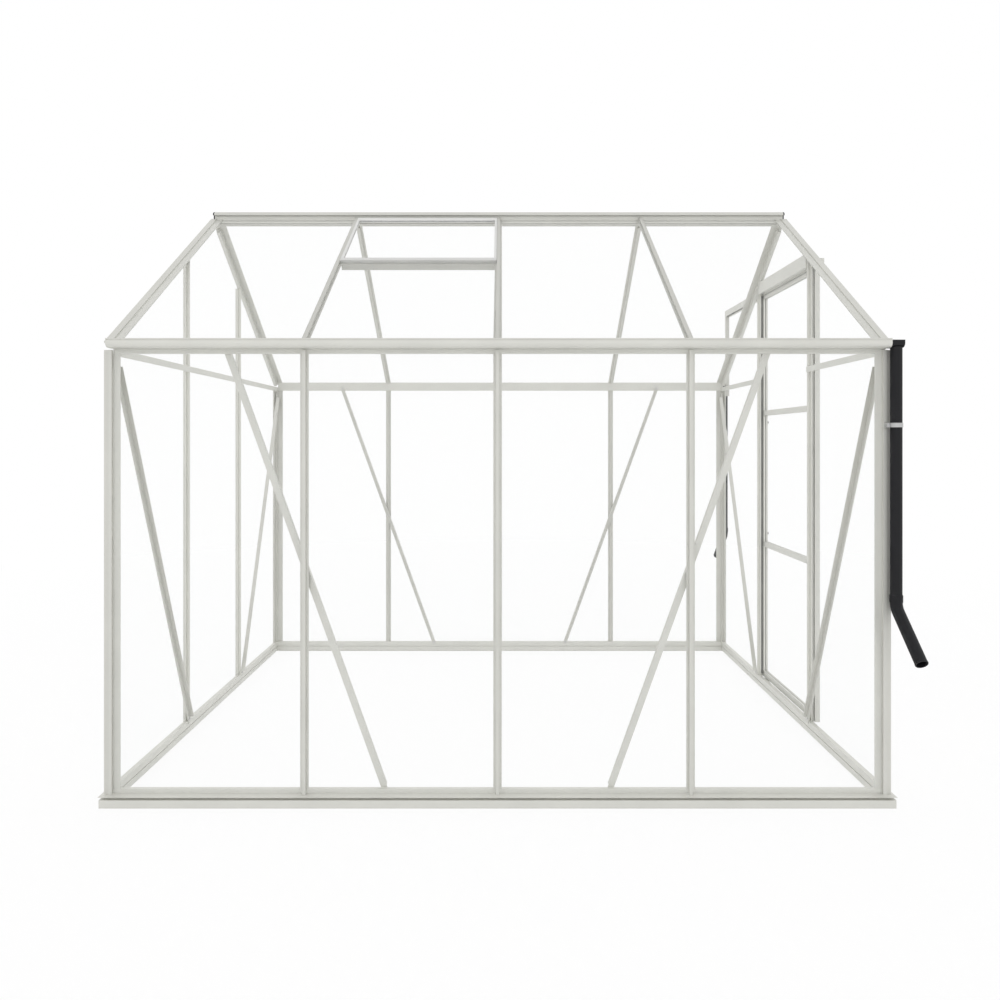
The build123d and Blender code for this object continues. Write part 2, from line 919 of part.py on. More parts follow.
def leaf_slot(index, play):
    half_slot = pane_thickness / 2 + glass_play - play
    reach = leaf_clear + glass_groove - play
    low = rails[index][1] - glass_groove + play
    high = rails[index + 1][0] + glass_groove - play
    return block((glass_x - half_slot, -reach, low), (glass_x + half_slot, reach, high))


leaf_slots = [leaf_slot(index, 0) for index in range(len(rails) - 1)]


def leaf_rail(low, high):
    return without(block((leaf_in, -leaf_clear, low), (leaf_out, leaf_clear, high)), *leaf_slots)


for name, y in (("front", -leaf_half), ("rear", leaf_clear)):
    stile = block((leaf_in, y, leaf_bottom), (leaf_out, y + stile_width, leaf_top))
    save(without(stile, *leaf_slots), f"door_stile_{name}")
save(leaf_rail(*rails[0]), "door_bottom_rail")
save(group(*[leaf_rail(*ends) for ends in rails[1:-1]]), "door_mid_rails")
save(leaf_rail(*rails[-1]), "door_top_rail")
save(group(*[leaf_slot(index, glass_play) for index in range(len(rails) - 1)]), "door_panes")
buffer_y = leaf_half - stile_width / 2
buffer_low = leaf_bottom + buffer_rise
buffers = [
    rod((leaf_out, buffer_y, z), right, buffer_radius, buffer_length)
    for z in (buffer_low, buffer_low + buffer_pitch)
]
save(group(*buffers), "door_buffers")

# Door head, its corners cut off under the end rafters
header_low = header_top - header_height
header = block((gable_inner, -door_inside, header_low), (gable_outer, door_inside, header_top))
for fall in (front, rear):
    corner = roof_point(fall, 0, door_line, -body_depth - header_gap)
    header = below(header, Plane(origin=corner, z_dir=roof_normal(fall)))
save(header, "door_header")

# Seals beside the ribs of the door posts
rib_side = door_line - rib_half
seals = [
    block(
        (gable_seat, y, base_height + seal_end),
        (leaf_in - seal_clearance, y + seal_width, header_low - seal_end),
    )
    for y in (-rib_side, rib_side - seal_width)
]
save(group(*seals), "door_seals")

# Track with its end caps, end stops, strut and floor guide
lip_edge = track_width - track_wall - track_lip_width
lip_top = track_low + track_wall
track_front = -leaf_half - track_end
track_rear = wall_outer - track_inset
track_outline = [
    (0, track_low),
    (track_wall, track_low),
    (track_wall, track_top - track_wall),
    (track_width - track_wall, track_top - track_wall),
    (track_width - track_wall, lip_top),
    (lip_edge, lip_top),
    (lip_edge, track_low),
    (track_width, track_low),
    (track_width, track_top),
    (0, track_top),
]
save(run(right, gable_outer, track_outline, track_front, track_rear), "door_track")
track_face = rectangle(0, track_low, track_width, track_top)
track_caps = [
    run(right, gable_outer, track_face, y, y + track_wall)
    for y in (track_front - track_wall, track_rear)
]
save(group(*track_caps), "door_track_caps")
hanger_spread = leaf_half - hanger_inset
hanger_end = hanger_spread + hanger_length / 2
door_travel = track_rear - strut_depth - strut_gap - leaf_half
stops = [
    block(
        (gable_outer + track_wall, y, lip_top),
        (gable_outer + track_width - track_wall, y + stop_length, track_top - track_wall),
    )
    for y in (-hanger_end - stop_gap - stop_length, hanger_end + door_travel + stop_gap)
]
save(group(*stops), "door_stops")
strut = block(
    (gable_outer, track_rear - strut_depth, eave_bottom - strut_lap),
    (gable_outer + strut_thickness, track_rear, track_low),
)
save(strut, "door_track_strut")
fascia_x = gable_seat + fascia_out
guide_out = leaf_out + guide_gap + guide_thickness - fascia_x
guide_top = leaf_bottom + guide_lap
guide_outline = [
    (0, guide_foot_low),
    (guide_out, guide_foot_low),
    (guide_out, guide_top),
    (guide_out - guide_thickness, guide_top),
    (guide_out - guide_thickness, guide_foot_low + guide_foot_height),
    (0, guide_foot_low + guide_foot_height),
]
guide_low = leaf_half - guide_inset - guide_length / 2
save(run(right, fascia_x, guide_outline, guide_low, guide_low + guide_length), "door_guide")

# Door hangers and rollers
axle_z = lip_top + roller_ride + roller_radius
roller_low = gable_outer + lip_edge + (track_lip_width - roller_width) / 2
hanger_out = gable_outer + lip_edge - hanger_gap
axle_tip = roller_low + roller_width + axle_end


def hanger(y):
    side = hanger_length / 2
    plate = block(
        (hanger_out - hanger_thickness, y - side, leaf_top),
        (hanger_out, y + side, axle_z + hanger_top_margin),
    )
    foot = block(
        (hanger_out - hanger_foot, y - side, leaf_top),
        (hanger_out, y + side, leaf_top + hanger_foot_height),
    )
    boss = rod((hanger_out, y, axle_z), right, boss_radius, roller_low - roller_play - hanger_out)
    axle = rod((hanger_out, y, axle_z), right, axle_radius, axle_tip - hanger_out)
    return group(plate, foot, boss, axle)


save(group(hanger(-hanger_spread), hanger(hanger_spread)), "door_hangers")
for name, y in (("front", -hanger_spread), ("rear", hanger_spread)):
    wheel = rod((roller_low, y, axle_z), right, roller_radius, roller_width)
    eye = rod((roller_low, y, axle_z), right, axle_radius + axle_clearance, roller_width)
    save(without(wheel, eye), f"door_roller_{name}")
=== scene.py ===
from math import cos, pi, radians, sin, tan

import bpy
import numpy as np
from bpy.props import FloatProperty, FloatVectorProperty, PointerProperty
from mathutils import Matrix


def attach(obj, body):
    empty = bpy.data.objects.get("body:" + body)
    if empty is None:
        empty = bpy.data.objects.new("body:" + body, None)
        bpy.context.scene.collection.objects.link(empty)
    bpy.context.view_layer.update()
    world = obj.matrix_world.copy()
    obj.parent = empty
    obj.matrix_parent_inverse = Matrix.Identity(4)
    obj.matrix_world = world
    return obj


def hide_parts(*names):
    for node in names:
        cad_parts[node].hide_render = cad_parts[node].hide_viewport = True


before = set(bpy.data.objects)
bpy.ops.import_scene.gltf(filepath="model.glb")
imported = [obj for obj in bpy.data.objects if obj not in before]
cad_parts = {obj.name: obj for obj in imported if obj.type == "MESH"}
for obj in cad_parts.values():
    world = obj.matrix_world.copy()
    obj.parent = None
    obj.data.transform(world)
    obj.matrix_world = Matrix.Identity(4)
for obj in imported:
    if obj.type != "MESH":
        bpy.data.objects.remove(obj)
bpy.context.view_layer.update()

bl_info = {
    "name": "Apex greenhouse",
    "version": (1, 0, 0),
    "blender": (4, 5, 0),
    "location": "View3D > Sidebar > Greenhouse",
    "description": "Finishes, small turned and bent pieces, and a white stage for a greenhouse",
    "category": "Object",
}

# Bars of the frame and the door, sorted by the way the extrusion runs
BARS_ALONG_X = (
    "base_rail_front base_rail_rear eave_gutter_front eave_gutter_rear gutter_end_caps"
).split()
BARS_ALONG_Y = (
    "base_rail_left base_rail_right gable_ties door_header door_track door_track_caps door_guide"
    " door_bottom_rail door_mid_rails door_top_rail"
).split()
UPRIGHT_BARS = (
    "corner_post_front_left corner_post_front_right corner_post_rear_left corner_post_rear_right"
    " wall_bars_front wall_bars_rear wall_braces gable_braces door_track_strut"
).split()
GABLE_UPRIGHT_BARS = (
    "gable_bar_front gable_bar_rear door_post_front door_post_rear"
    " door_stile_front door_stile_rear"
).split()
FRONT_END_RAFTERS = "end_rafter_front_left end_rafter_front_right".split()
REAR_SLOPE_BARS = "roof_bars_rear end_rafter_rear_left end_rafter_rear_right".split()
VENT_BARS_ALONG_X = "vent_bottom_rail vent_stay".split()
PANES = "wall_panes gable_panes roof_panes vent_pane door_panes".split()
BLACK_MOULDINGS = "gutter_outlets downpipes ridge_end_caps".split()
RUBBER_PIECES = "door_seals door_stops door_buffers".split()
PLATED_PIECES = "vent_hinge_rod door_hangers".split()

# Turn that lays a slope flat, and the direction a bar then runs in
ROOF_PITCH = radians(35)
LEVEL, FRONT_SLOPE, REAR_SLOPE = (0, 0, 0), (-ROOF_PITCH, 0, 0), (ROOF_PITCH, 0, 0)
RUN_X, RUN_Y, RUN_Z = (1, 0, 0), (0, 1, 0), (0, 0, 1)

# Rows of bars that share a finish: a word for it, the bars, their tone, turn and run. The tone is
# painted light and shade: lighter or darker copies of the one frame metal that stand in for how
# light and shade fall on each row
FRAME_ROWS = (
    ("along_x", BARS_ALONG_X, 1.0, LEVEL, RUN_X),
    ("ridge", ["ridge_bar"], 0.92, LEVEL, RUN_X),
    ("lintel", ["vent_lintel"], 0.78, LEVEL, RUN_X),
    ("along_y", BARS_ALONG_Y, 1.0, LEVEL, RUN_Y),
    ("upright", UPRIGHT_BARS, 0.94, LEVEL, RUN_Z),
    ("gable_upright", GABLE_UPRIGHT_BARS, 1.06, LEVEL, RUN_Z),
    ("front_slope", ["roof_bars_front"], 0.82, FRONT_SLOPE, RUN_Y),
    ("front_end_slope", FRONT_END_RAFTERS, 0.92, FRONT_SLOPE, RUN_Y),
    ("rear_slope", REAR_SLOPE_BARS, 0.97, REAR_SLOPE, RUN_Y),
)
# Rows of the vent, laid out like the frame rows; their tones are painted light, paler copies of the
# one vent metal for the hinge rail and side rails
VENT_ROWS = (
    ("hinge_rail", ["vent_hinge_rail"], 1.15, LEVEL, RUN_X),
    ("along_x", VENT_BARS_ALONG_X, 1.0, LEVEL, RUN_X),
    ("slope", ["vent_side_rails"], 1.1, FRONT_SLOPE, RUN_Y),
)

# Moulded skins: darkest and lightest clouding, roughness, grains in a metre, depth of the grain
PLASTIC_SKIN = (0.9, 1.12, 0.42, 1500.0, 0.0002)
RUBBER_SKIN = (0.85, 1.15, 0.72, 1100.0, 0.0003)
NYLON_SKIN = (0.96, 1.03, 0.45, 1300.0, 0.0002)
BOLT_ROUGHNESS, CLIP_ROUGHNESS = 0.38, 0.35

# The middle of a noise, which the finishes map onto their own range
NOISE_LOW, NOISE_HIGH = 0.3, 0.7

# Braces of the long walls and of the gables, in metres: distance along the wall and height of
# the foot and of the top, shares of the line between them at the bolts, inner face of the wall,
# and direction along the wall
BRACES = (
    ((0.362, 0.040), (0.882, 1.480), (0.009144, 0.5, 0.990856), 0.927, RUN_X),
    ((0.316, 0.048), (0.928, 1.430), (0.009262, 0.990738), 1.238, RUN_Y),
)

# Downpipes, their shoes and the door rollers, in metres
PIPE_X, PIPE_Y, PIPE_FOOT = 1.269, 0.9744, 0.663
SHOE_TOP, SHOE_KNEE = 0.685, 0.645
SPOUT_LENGTH, SPOUT_LEAN = 0.207, radians(48)
COLLAR_BORE, SPOUT_BORE = 0.0181, 0.0160
ROLLER_X, ROLLER_Y, ROLLER_Z = 1.283, 0.245, 1.884155
ROLLER_WIDTH, ROLLER_RADIUS, ROLLER_BORE = 0.0070, 0.0110, 0.00305

# Points round a ring of each turned piece, rings in the bend of a shoe, and the angle between
# two faces above which their edge stays sharp
BOLT_COLUMNS, SHOE_COLUMNS, ROLLER_COLUMNS = 36, 48, 64
BEND_RINGS = 13
SHARP_EDGE = radians(30)

# Stage: gap under the base, share of white in the floor near the house, turn of the large lamp
# and the furthest distance that the camera sees
FLOOR_GAP = 0.001
FLOOR_WHITE = 0.9
KEY_TURN = (radians(86), 0, radians(-6))
VIEW_END = 200


class MetalFinish(bpy.types.PropertyGroup):
    """Colours and surface of the extruded and plated metal"""

    frame_colour: FloatVectorProperty(
        name="Frame", description="Warm light grey of the extruded bars",
        subtype="COLOR", size=3, min=0.0, max=1.0, default=(0.690, 0.688, 0.645),
    )
    vent_colour: FloatVectorProperty(
        name="Vent", description="Neutral light grey of the roof vent",
        subtype="COLOR", size=3, min=0.0, max=1.0, default=(0.65, 0.65, 0.635),
    )
    plated_colour: FloatVectorProperty(
        name="Plating", description="Bright zinc plating of bolts, hangers and hinge rod",
        subtype="COLOR", size=3, min=0.0, max=1.0, default=(0.60, 0.60, 0.59),
    )
    clip_colour: FloatVectorProperty(
        name="Pipe clip", description="Pale band of the downpipe clips",
        subtype="COLOR", size=3, min=0.0, max=1.0, default=(0.50, 0.50, 0.50),
    )
    roughness: FloatProperty(
        name="Roughness", description="Mean roughness of the satin bars",
        subtype="FACTOR", min=0.0, max=1.0, default=0.45,
    )
    die_lines: FloatProperty(
        name="Die lines", description="Number of drawing lines across a metre of bar",
        min=50.0, default=350.0,
    )


class ClearAndDarkFinish(bpy.types.PropertyGroup):
    """Colours of the panes, mouldings and rubber"""

    glass_colour: FloatVectorProperty(
        name="Glass", description="Faint green of the clear panes",
        subtype="COLOR", size=3, min=0.0, max=1.0, default=(0.93, 0.97, 0.95),
    )
    glass_cover: FloatProperty(
        name="Glass cover", description="Share of the view that a pane hides",
        subtype="FACTOR", min=0.0, max=1.0, default=0.02,
    )
    pipe_colour: FloatVectorProperty(
        name="Pipes", description="Black of the rainwater mouldings",
        subtype="COLOR", size=3, min=0.0, max=1.0, default=(0.010, 0.010, 0.012),
    )
    rubber_colour: FloatVectorProperty(
        name="Rubber", description="Dark grey of seals, stops and buffers",
        subtype="COLOR", size=3, min=0.0, max=1.0, default=(0.17, 0.17, 0.16),
    )
    roller_colour: FloatVectorProperty(
        name="Rollers", description="Off white of the nylon rollers",
        subtype="COLOR", size=3, min=0.0, max=1.0, default=(0.62, 0.61, 0.56),
    )


class SmallPieceSizes(bpy.types.PropertyGroup):
    """Sizes of the bolts, the pipe shoes and the rollers"""

    washer_radius: FloatProperty(
        name="Washer", description="Radius of the washer under a bolt head",
        unit="LENGTH", min=0.001, default=0.005,
    )
    across_flats: FloatProperty(
        name="Across flats", description="Width of the hexagon head",
        unit="LENGTH", min=0.001, default=0.008,
    )
    head_height: FloatProperty(
        name="Head height", description="Height of washer and head together",
        unit="LENGTH", min=0.001, default=0.004,
    )
    washer_height: FloatProperty(
        name="Washer height", description="Thickness of the washer",
        unit="LENGTH", min=0.0001, default=0.0008,
    )
    shoe_bend: FloatProperty(
        name="Shoe bend", description="Bending radius in the middle of the shoe",
        unit="LENGTH", min=0.001, default=0.04,
    )
    collar_radius: FloatProperty(
        name="Collar", description="Outer radius of the collar round the pipe",
        unit="LENGTH", min=0.001, default=0.0201,
    )
    spout_radius: FloatProperty(
        name="Spout", description="Outer radius of the spout",
        unit="LENGTH", min=0.001, default=0.0188,
    )
    roller_recess: FloatProperty(
        name="Roller recess", description="Depth of the ring turned into each side of a roller",
        unit="LENGTH", min=0.0, default=0.0008,
    )


class StageSettings(bpy.types.PropertyGroup):
    """Floor, light and camera"""

    camera_place: FloatVectorProperty(
        name="Camera", description="Place of the camera",
        subtype="TRANSLATION", unit="LENGTH", size=3, default=(0.0151, -3.492, 1.1745),
    )
    lens: FloatProperty(
        name="Lens", description="Focal length in millimetres",
        unit="CAMERA", min=1.0, default=28.483,
    )
    sensor: FloatProperty(
        name="Sensor", description="Sensor width in millimetres",
        unit="CAMERA", min=1.0, default=36.0,
    )
    drop: FloatProperty(
        name="Drop", description="Shift of the picture below the horizon, in picture widths",
        default=0.059,
    )
    aside: FloatProperty(
        name="Aside", description="Shift of the picture to the left, in picture widths",
        default=0.0022,
    )
    floor_half: FloatProperty(
        name="Floor", description="Half the side of the floor",
        unit="LENGTH", min=1.0, default=30.0,
    )
    shadow_reach: FloatProperty(
        name="Shadow reach", description="Distance at which the floor has faded to white",
        unit="LENGTH", min=1.0, default=6.0,
    )
    floor_colour: FloatVectorProperty(
        name="Floor colour", description="Pale tone of the floor",
        subtype="COLOR", size=3, min=0.0, max=1.0, default=(0.93, 0.93, 0.93),
    )
    sky: FloatProperty(
        name="Sky", description="Strength of the even light all round", min=0.0, default=1.02,
    )
    key: FloatProperty(
        name="Key light", description="Power of the large lamp behind the camera",
        unit="POWER", min=0.0, default=20.0,
    )
    key_side: FloatProperty(
        name="Key size", description="Side of the large lamp",
        unit="LENGTH", min=0.1, default=6.0,
    )
    key_place: FloatVectorProperty(
        name="Key place", description="Place of the large lamp",
        subtype="TRANSLATION", unit="LENGTH", size=3, default=(-1.0, -9.0, 2.6),
    )


def shader(name):
    """A new node material: returns it with its node tree and its principled shader."""
    material = bpy.data.materials.new(name)
    material.use_nodes = True
    return material, material.node_tree, material.node_tree.nodes["Principled BSDF"]


def add_node(tree, kind, **settings):
    """A node of that kind with its settings and inputs by name."""
    node = tree.nodes.new(kind)
    for key, value in settings.items():
        if key in node.inputs:
            node.inputs[key].default_value = value
        else:
            setattr(node, key, value)
    return node


def object_coordinates(tree, turn=(0, 0, 0), stretch=(1, 1, 1)):
    """Object coordinates, turned and then stretched."""
    place = add_node(tree, "ShaderNodeTexCoord")
    mapping = add_node(tree, "ShaderNodeMapping", Rotation=turn)
    scale = add_node(tree, "ShaderNodeMapping", Scale=stretch)
    tree.links.new(place.outputs["Object"], mapping.inputs["Vector"])
    tree.links.new(mapping.outputs["Vector"], scale.inputs["Vector"])
    return scale.outputs["Vector"]


def noise(tree, vector, scale, detail):
    """A soft noise: scale is its patches in a metre, and detail its finer layers."""
    texture = add_node(tree, "ShaderNodeTexNoise", Scale=scale, Detail=detail, Roughness=0.55)
    tree.links.new(vector, texture.inputs["Vector"])
    return texture.outputs["Fac"]


def spread(tree, value, low, high):
    """Maps the middle of a noise onto low to high."""
    ranged = add_node(tree, "ShaderNodeMapRange")
    ranged.inputs["From Min"].default_value = NOISE_LOW
    ranged.inputs["From Max"].default_value = NOISE_HIGH
    ranged.inputs["To Min"].default_value = low
    ranged.inputs["To Max"].default_value = high
    tree.links.new(value, ranged.inputs["Value"])
    return ranged.outputs["Result"]


def shades(tree, value, colour, low, high):
    """The colour from low times to high times its strength, by the middle of a noise."""
    ramp = add_node(tree, "ShaderNodeValToRGB")
    first, last = ramp.color_ramp.elements
    first.position, last.position = NOISE_LOW, NOISE_HIGH
    first.color = (*[min(1.0, part * low) for part in colour], 1)
    last.color = (*[min(1.0, part * high) for part in colour], 1)
    tree.links.new(value, ramp.inputs["Fac"])
    return ramp.outputs["Color"]


def bump(tree, height, strength, distance):
    """The normal of a surface raised by the height, over that distance."""
    node = add_node(tree, "ShaderNodeBump", Strength=strength, Distance=distance)
    tree.links.new(height, node.inputs["Height"])
    return node.outputs["Normal"]


def mixed(tree, first, second, share):
    """Two heights or values, added with the second at its share."""
    node = add_node(tree, "ShaderNodeMath", operation="MULTIPLY_ADD")
    tree.links.new(second, node.inputs[0])
    node.inputs[1].default_value = share
    tree.links.new(first, node.inputs[2])
    return node.outputs["Value"]


def drawn_aluminium(name, colour, finish, turn, run):
    """Satin extrusion: long die lines along the run, soft clouding and a fine grain."""
    material, tree, surface = shader(name)
    along, gloss = 2.0, 0.06
    stretch = [finish.die_lines if part == 0 else along for part in run]
    lines = noise(tree, object_coordinates(tree, turn, stretch), scale=1.0, detail=2.0)
    clouds = noise(tree, object_coordinates(tree), scale=5.0, detail=4.0)
    grain = noise(tree, object_coordinates(tree), scale=900.0, detail=2.0)
    tone = shades(tree, clouds, colour, low=0.97, high=1.03)
    tree.links.new(tone, surface.inputs["Base Color"])
    wear = mixed(tree, lines, grain, share=0.4)
    rough = spread(tree, wear, finish.roughness - gloss, finish.roughness + gloss)
    tree.links.new(rough, surface.inputs["Roughness"])
    relief = bump(tree, lines, strength=0.03, distance=0.0003)
    tree.links.new(relief, surface.inputs["Normal"])
    surface.inputs["Metallic"].default_value = 0.3
    return material


def clear_glass(name, colour, cover):
    """Clear pane: a thin share of cover over the view, with faint water marks in its gloss."""
    material, tree, surface = shader(name)
    marks = noise(tree, object_coordinates(tree, stretch=(1, 1, 0.35)), scale=9.0, detail=5.0)
    tone = shades(tree, marks, colour, low=0.98, high=1.02)
    tree.links.new(tone, surface.inputs["Base Color"])
    tree.links.new(spread(tree, marks, low=0.02, high=0.09), surface.inputs["Roughness"])
    surface.inputs["Alpha"].default_value = cover
    surface.inputs["IOR"].default_value = 1.5
    return material


def moulded(name, colour, low, high, rough, grains, depth):
    """Moulded plastic or rubber: even colour with clouding, and a fine pebbled skin."""
    material, tree, surface = shader(name)
    clouds = noise(tree, object_coordinates(tree), scale=14.0, detail=4.0)
    skin = noise(tree, object_coordinates(tree), scale=grains, detail=3.0)
    tree.links.new(shades(tree, clouds, colour, low, high), surface.inputs["Base Color"])
    wear = mixed(tree, clouds, skin, share=0.5)
    tree.links.new(spread(tree, wear, rough - 0.08, rough + 0.12), surface.inputs["Roughness"])
    relief = bump(tree, skin, strength=0.15, distance=depth)
    tree.links.new(relief, surface.inputs["Normal"])
    surface.inputs["Specular IOR Level"].default_value = 0.25
    return material


def zinc_plate(name, colour, rough):
    """Zinc plating: spangled cells of slightly different grey and gloss."""
    material, tree, surface = shader(name)
    cells = add_node(tree, "ShaderNodeTexVoronoi", Scale=420.0)
    tree.links.new(object_coordinates(tree), cells.inputs["Vector"])
    clouds = noise(tree, object_coordinates(tree), scale=60.0, detail=3.0)
    spangle = mixed(tree, clouds, cells.outputs["Distance"], share=0.25)
    tone = shades(tree, spangle, colour, low=0.9, high=1.08)
    tree.links.new(tone, surface.inputs["Base Color"])
    tree.links.new(spread(tree, spangle, rough - 0.08, rough + 0.1), surface.inputs["Roughness"])
    relief = bump(tree, spangle, strength=0.1, distance=0.0003)
    tree.links.new(relief, surface.inputs["Normal"])
    surface.inputs["Metallic"].default_value = 0.85
    return material


def dress(names, material):
    """Gives CAD nodes a finish through their own material slots."""
    for name in names:
        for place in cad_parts[name].material_slots:
            place.material = material


def dress_bars(kind, rows, colour, finish):
    """Gives each row of bars the colour times its tone, which is painted light and shade, with die
    lines along its own run.
    """
    for word, names, tone, turn, run in rows:
        # the frame or vent colour times the row's tone: painted light and shade, not a different
        # metal
        light_and_shade_colour = [part * tone for part in colour]
        dress(names, drawn_aluminium(f"{kind}_{word}", light_and_shade_colour, finish, turn, run))


class Dresser(bpy.types.Operator):
    """Base of the finishing operators"""

    bl_options = {"REGISTER", "UNDO"}

    @property
    def metal(self):
        return bpy.context.scene.greenhouse_metal

    @property
    def other(self):
        return bpy.context.scene.greenhouse_other

    @property
    def sizes(self):
        return bpy.context.scene.greenhouse_sizes


class GREENHOUSE_OT_dress_frame(Dresser):
    """Satin aluminium on every bar, with die lines along its own run and each row lighter or darker
    by its painted light and shade tone
    """

    bl_idname = "greenhouse.dress_frame"
    bl_label = "Dress the frame bars"

    def execute(self, context):
        dress_bars("frame", FRAME_ROWS, self.metal.frame_colour, self.metal)
        return {"FINISHED"}


class GREENHOUSE_OT_dress_vent(Dresser):
    """Neutral grey aluminium on the roof vent and its stay, with the hinge rail and side rails made
    paler by painted light
    """

    bl_idname = "greenhouse.dress_vent"
    bl_label = "Dress the roof vent"

    def execute(self, context):
        dress_bars("vent", VENT_ROWS, self.metal.vent_colour, self.metal)
        return {"FINISHED"}


class GREENHOUSE_OT_dress_panes(Dresser):
    """Clear glass on every pane"""

    bl_idname = "greenhouse.dress_panes"
    bl_label = "Dress the panes"

    def execute(self, context):
        dress(PANES, clear_glass("clear_pane", self.other.glass_colour, self.other.glass_cover))
        return {"FINISHED"}


class GREENHOUSE_OT_dress_small_pieces(Dresser):
    """Black mouldings, rubber and plated steel"""

    bl_idname = "greenhouse.dress_small_pieces"
    bl_label = "Dress the small pieces"

    def execute(self, context):
        metal, other = self.metal, self.other
        dress(BLACK_MOULDINGS, moulded("black_moulding", other.pipe_colour, *PLASTIC_SKIN))
        dress(RUBBER_PIECES, moulded("dark_rubber", other.rubber_colour, *RUBBER_SKIN))
        dress(["downpipe_clips"], zinc_plate("clip_plating", metal.clip_colour, CLIP_ROUGHNESS))
        dress(PLATED_PIECES, zinc_plate("bolt_plating", metal.plated_colour, BOLT_ROUGHNESS))
        return {"FINISHED"}


def ring_quads(rows, columns, closed):
    """Corners of the quads between neighbouring rings, and from last to first if closed."""
    row = np.arange(rows if closed else rows - 1)[:, None]
    column = np.arange(columns)[None, :]
    after, beside = (row + 1) % rows * columns, (column + 1) % columns
    here = row * columns
    corners = np.broadcast_arrays(here + column, here + beside, after + beside, after + column)
    return np.stack(corners, axis=-1).reshape(-1, 4)


def rings(middles, first, second, radii, columns):
    """Rings of points: each middle plus its radius times a step round the ring.

    The step is the cosine of the turn along first plus its sine along second.
    """
    turn = np.arange(columns) * 2 * pi / columns
    around = first[:, None, :] * np.cos(turn)[:, None] + second[:, None, :] * np.sin(turn)[:, None]
    return middles[:, None, :] + np.broadcast_to(radii, (len(middles), columns))[..., None] * around


def new_piece(name, points, faces, material, body, node):
    """A closed piece with rounded shading between its sharp edges, in place of one CAD node."""
    mesh = bpy.data.meshes.new(name)
    mesh.from_pydata(points.reshape(-1, 3).tolist(), [], faces)
    mesh.shade_smooth()
    mesh.set_sharp_from_angle(angle=SHARP_EDGE)
    mesh.materials.append(material)
    piece = bpy.data.objects.new(name, mesh)
    bpy.context.scene.collection.objects.link(piece)
    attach(piece, body)
    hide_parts(node)


def bolt_places():
    """Middles and inward directions of the brace bolts: shares of the line from foot to top."""
    sides = np.array((-1.0, 1.0))
    places, inwards = [], []
    for foot, top, shares, face, along in BRACES:
        share = np.array(shares)
        reach = foot[0] + (top[0] - foot[0]) * share
        height = foot[1] + (top[1] - foot[1]) * share
        out = np.array(along)[[1, 0, 2]]
        wall, side, step = np.meshgrid(sides, sides, np.arange(len(shares)), indexing="ij")
        wall, side, step = wall.reshape(-1, 1), side.reshape(-1, 1), step.ravel()
        upright = np.array(RUN_Z) * height[step, None]
        places.append(side * np.array(along) * reach[step, None] + wall * out * face + upright)
        inwards.append(-wall * out)
    return np.concatenate(places), np.concatenate(inwards)


class GREENHOUSE_OT_brace_bolts(Dresser):
    """Hexagon heads on washers at the ends of the braces and where they cross a bar"""

    bl_idname = "greenhouse.brace_bolts"
    bl_label = "Make the brace bolts"

    def execute(self, context):
        """Rings of a washer, a hexagon and its bevelled crown, stacked inwards from the wall.

        The hexagon's radius is half its flats over the cosine of the turn from the nearest flat.
        """
        sizes = self.sizes
        columns, crown_share, bevel = BOLT_COLUMNS, 0.95, 0.0006
        turn = np.arange(columns) * 2 * pi / columns
        hexagon = sizes.across_flats / 2 / np.cos((turn + pi / 6) % (pi / 3) - pi / 6)
        washer = np.full(columns, sizes.washer_radius)
        crown = np.full(columns, sizes.across_flats / 2 * crown_share)
        radii = np.stack((washer, washer, hexagon, hexagon, crown))
        low, high = sizes.washer_height, sizes.head_height
        heights = np.array((0.0, low, low, high - bevel, high))
        places, inwards = bolt_places()
        ups = np.broadcast_to(np.array((0.0, 0.0, 1.0)), inwards.shape)
        seconds = np.cross(inwards, ups)
        rows = len(heights)
        middles = (places[:, None, :] + heights[:, None] * inwards[:, None, :]).reshape(-1, 3)
        points = rings(
            middles, np.repeat(ups, rows, axis=0), np.repeat(seconds, rows, axis=0),
            np.tile(radii, (len(places), 1)), columns,
        )
        starts = np.arange(len(places))[:, None] * rows * columns
        quads = (starts[..., None] + ring_quads(rows, columns, False)).reshape(-1, 4)
        ring = np.arange(columns)
        undersides, crowns = starts + ring[::-1], starts + (rows - 1) * columns + ring
        faces = quads.tolist() + undersides.tolist() + crowns.tolist()
        plating = zinc_plate("bolt_head_plating", self.metal.plated_colour, BOLT_ROUGHNESS)
        new_piece("hexagon_bolts", points, faces, plating, "frame", "brace_bolts")
        return {"FINISHED"}


